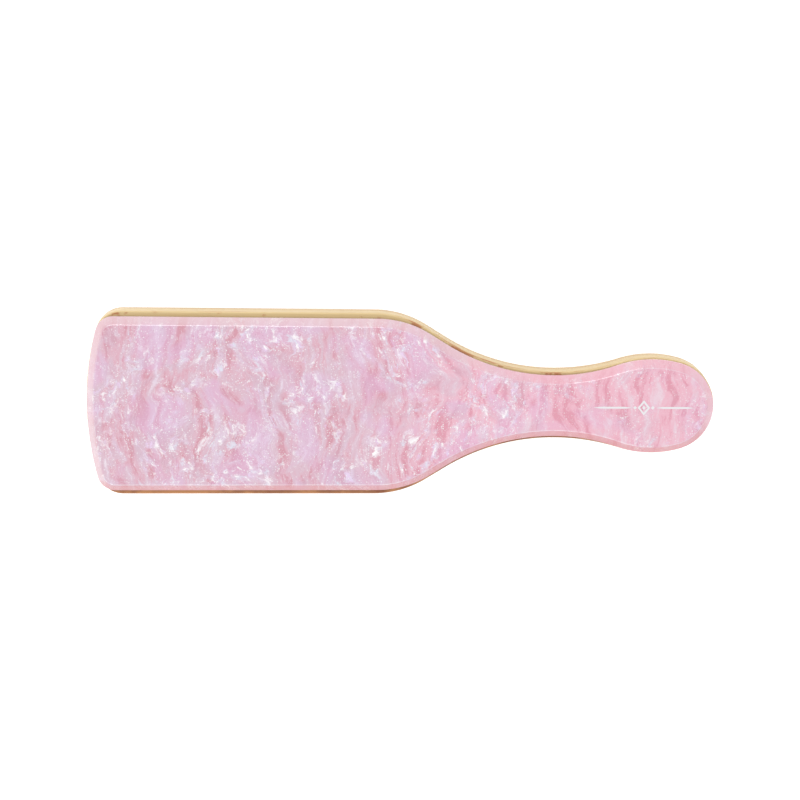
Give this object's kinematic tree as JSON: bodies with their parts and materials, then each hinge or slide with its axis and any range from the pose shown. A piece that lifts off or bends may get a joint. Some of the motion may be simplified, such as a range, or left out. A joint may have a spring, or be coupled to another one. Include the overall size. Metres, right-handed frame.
{
  "type": "paddle hairbrush",
  "caption": "Slim paddle hairbrush with a bevelled pearl acetate back on a bamboo body, and a sprung rubber cushion of bamboo pins that sinks and leans in use.",
  "frame": {"origin": "middle of the brush's length and width, on the plane of the pin tips", "axes": "+X from the head towards the handle, +Z from the pin tips towards the acetate back"},
  "size_m": [0.2412, 0.0718, 0.038],
  "materials": {
    "bamboo": "satin",
    "pearl_acetate": "gloss",
    "cushion_rubber": "matte",
    "backing_cloth": "matte",
    "pin_bamboo": "satin",
    "white_print": "gloss"
  },
  "bodies": {
    "root": {"bamboo_body": "bamboo", "acetate_back_plate": "pearl_acetate", "cushion_pad": "cushion_rubber"},
    "pin_bed": {"pad_backing_cloth": "backing_cloth"},
    "pin_row_1": {"pin_row1_01": "pin_bamboo", "pin_row1_02": "pin_bamboo", "pin_row1_03": "pin_bamboo", "pin_row1_04": "pin_bamboo", "pin_row1_05": "pin_bamboo", "pin_row1_06": "pin_bamboo", "pin_row1_07": "pin_bamboo", "pin_row1_08": "pin_bamboo", "pin_row1_09": "pin_bamboo", "pin_row1_10": "pin_bamboo", "pin_row1_11": "pin_bamboo"},
    "pin_row_2": {"pin_row2_01": "pin_bamboo", "pin_row2_02": "pin_bamboo", "pin_row2_03": "pin_bamboo", "pin_row2_04": "pin_bamboo", "pin_row2_05": "pin_bamboo", "pin_row2_06": "pin_bamboo", "pin_row2_07": "pin_bamboo", "pin_row2_08": "pin_bamboo", "pin_row2_09": "pin_bamboo", "pin_row2_10": "pin_bamboo", "pin_row2_11": "pin_bamboo"},
    "pin_row_3": {"pin_row3_01": "pin_bamboo", "pin_row3_02": "pin_bamboo", "pin_row3_03": "pin_bamboo", "pin_row3_04": "pin_bamboo", "pin_row3_05": "pin_bamboo", "pin_row3_06": "pin_bamboo", "pin_row3_07": "pin_bamboo", "pin_row3_08": "pin_bamboo", "pin_row3_09": "pin_bamboo", "pin_row3_10": "pin_bamboo", "pin_row3_11": "pin_bamboo"},
    "pin_row_4": {"pin_row4_01": "pin_bamboo", "pin_row4_02": "pin_bamboo", "pin_row4_03": "pin_bamboo", "pin_row4_04": "pin_bamboo", "pin_row4_05": "pin_bamboo", "pin_row4_06": "pin_bamboo", "pin_row4_07": "pin_bamboo", "pin_row4_08": "pin_bamboo", "pin_row4_09": "pin_bamboo", "pin_row4_10": "pin_bamboo", "pin_row4_11": "pin_bamboo"},
    "pin_row_5": {"pin_row5_01": "pin_bamboo", "pin_row5_02": "pin_bamboo", "pin_row5_03": "pin_bamboo", "pin_row5_04": "pin_bamboo", "pin_row5_05": "pin_bamboo", "pin_row5_06": "pin_bamboo", "pin_row5_07": "pin_bamboo", "pin_row5_08": "pin_bamboo", "pin_row5_09": "pin_bamboo", "pin_row5_10": "pin_bamboo", "pin_row5_11": "pin_bamboo"}
  },
  "joints": [
    {"name": "cushion_press", "type": "slide", "parent": "root", "child": "pin_bed", "axis": [0, 0, 1], "range_m": [0, 0.0025], "stiffness_N_per_m": 3000, "springref_m": -0.0008, "deforming": ["cushion_pad"]},
    {"name": "row_lean_1", "type": "hinge", "parent": "pin_bed", "child": "pin_row_1", "pos_m": [-0.05466, -0.0173, 0.018], "axis": [1, 0, 0], "range_deg": [-10, 10], "stiffness_Nm_per_rad": 0.2},
    {"name": "row_lean_2", "type": "hinge", "parent": "pin_bed", "child": "pin_row_2", "pos_m": [-0.05466, -0.00865, 0.018], "axis": [1, 0, 0], "range_deg": [-10, 10], "stiffness_Nm_per_rad": 0.2},
    {"name": "row_lean_3", "type": "hinge", "parent": "pin_bed", "child": "pin_row_3", "pos_m": [-0.05466, 0, 0.018], "axis": [1, 0, 0], "range_deg": [-10, 10], "stiffness_Nm_per_rad": 0.2},
    {"name": "row_lean_4", "type": "hinge", "parent": "pin_bed", "child": "pin_row_4", "pos_m": [-0.05466, 0.00865, 0.018], "axis": [1, 0, 0], "range_deg": [-10, 10], "stiffness_Nm_per_rad": 0.2},
    {"name": "row_lean_5", "type": "hinge", "parent": "pin_bed", "child": "pin_row_5", "pos_m": [-0.05466, 0.0173, 0.018], "axis": [1, 0, 0], "range_deg": [-10, 10], "stiffness_Nm_per_rad": 0.2}
  ]
}
